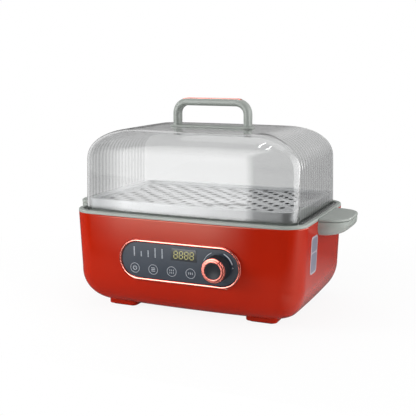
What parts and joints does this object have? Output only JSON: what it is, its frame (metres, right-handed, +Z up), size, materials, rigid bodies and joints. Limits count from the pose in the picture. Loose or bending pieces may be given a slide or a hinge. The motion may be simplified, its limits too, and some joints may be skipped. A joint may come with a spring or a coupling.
{
  "type": "electric food steamer",
  "caption": "Countertop electric food steamer: rounded tub with capsule control panel and dial, side handles, lift-out slotted tray and clear domed lift-off lid with a carrying handle.",
  "frame": {"origin": "centre of the overall box's underside, on the table plane", "axes": "+X along the length between the side handles, -Y out of the control panel, +Z up"},
  "size_m": [0.403, 0.2454, 0.2862],
  "materials": {
    "red_shell": "satin red moulding",
    "dark_plastic": "fine matt",
    "rubber": "matt",
    "grey_plastic": "satin grey-green moulding",
    "silicone": "translucent white",
    "pan_metal": "coated, satin",
    "cast_aluminium": "as cast",
    "element_sheath": "dulled",
    "sheet_steel": "plain sheet",
    "ceramic_body": "matt ceramic",
    "rose_gold": "rose-gold plated",
    "panel_plastic": "smoked satin",
    "display_window": "tinted gloss",
    "circuit_board": "solder mask",
    "encoder_metal": "turned",
    "lead_cover": "matt",
    "tray_steel": "bright pressed sheet",
    "knob_plastic": "satin black",
    "clear_plastic": "clear, fluted ends",
    "steel_fastener": "zinc plated"
  },
  "bodies": {
    "base": {"housing": "red_shell", "bottom_cover": "dark_plastic", "cover_screws": "steel_fastener", "feet": "red_shell", "foot_pads": "rubber", "foot_screws": "steel_fastener", "rim_trim": "grey_plastic", "pan_seal": "silicone", "water_pan": "pan_metal", "heating_plate": "cast_aluminium", "heating_element": "element_sheath", "element_clamps": "sheet_steel", "clamp_nuts": "steel_fastener", "thermostat": "ceramic_body", "thermal_fuse": "ceramic_body", "heat_shield": "sheet_steel", "panel_bezel": "rose_gold", "control_panel": "panel_plastic", "display_lens": "display_window", "display_module": "dark_plastic", "control_board": "circuit_board", "touch_springs": "sheet_steel", "rotary_encoder": "encoder_metal", "panel_screws": "steel_fastener", "power_board": "circuit_board", "board_screws": "steel_fastener", "power_inlet": "dark_plastic", "inlet_pins": "encoder_metal", "inlet_screws": "steel_fastener", "mains_leads": "lead_cover", "heater_leads": "lead_cover", "panel_lead": "lead_cover", "handle_grip_left": "grey_plastic", "handle_grip_right": "grey_plastic", "handle_cap_left": "grey_plastic", "handle_cap_right": "grey_plastic", "handle_screws": "steel_fastener"},
    "tray": {"steam_tray": "tray_steel"},
    "knob": {"encoder_shaft": "encoder_metal", "knob_barrel": "knob_plastic", "knob_ring": "rose_gold", "knob_cap": "knob_plastic"},
    "lid": {"lid_shell": "clear_plastic", "handle_base": "grey_plastic", "lid_handle": "grey_plastic", "handle_accent": "rose_gold", "lid_screws": "steel_fastener", "lid_washers": "silicone"}
  },
  "joints": [
    {"name": "lid_lift", "type": "slide", "parent": "base", "child": "lid", "axis": [0, 0, 1], "range_m": [0, 0.15]},
    {"name": "tray_lift", "type": "slide", "parent": "base", "child": "tray", "axis": [0, 0, 1], "range_m": [0, 0.04]},
    {"name": "knob_turn", "type": "hinge", "parent": "base", "child": "knob", "pos_m": [0.0552, -0.10363, 0.0775], "axis": [0, -0.9995, -0.0314], "continuous": true}
  ]
}
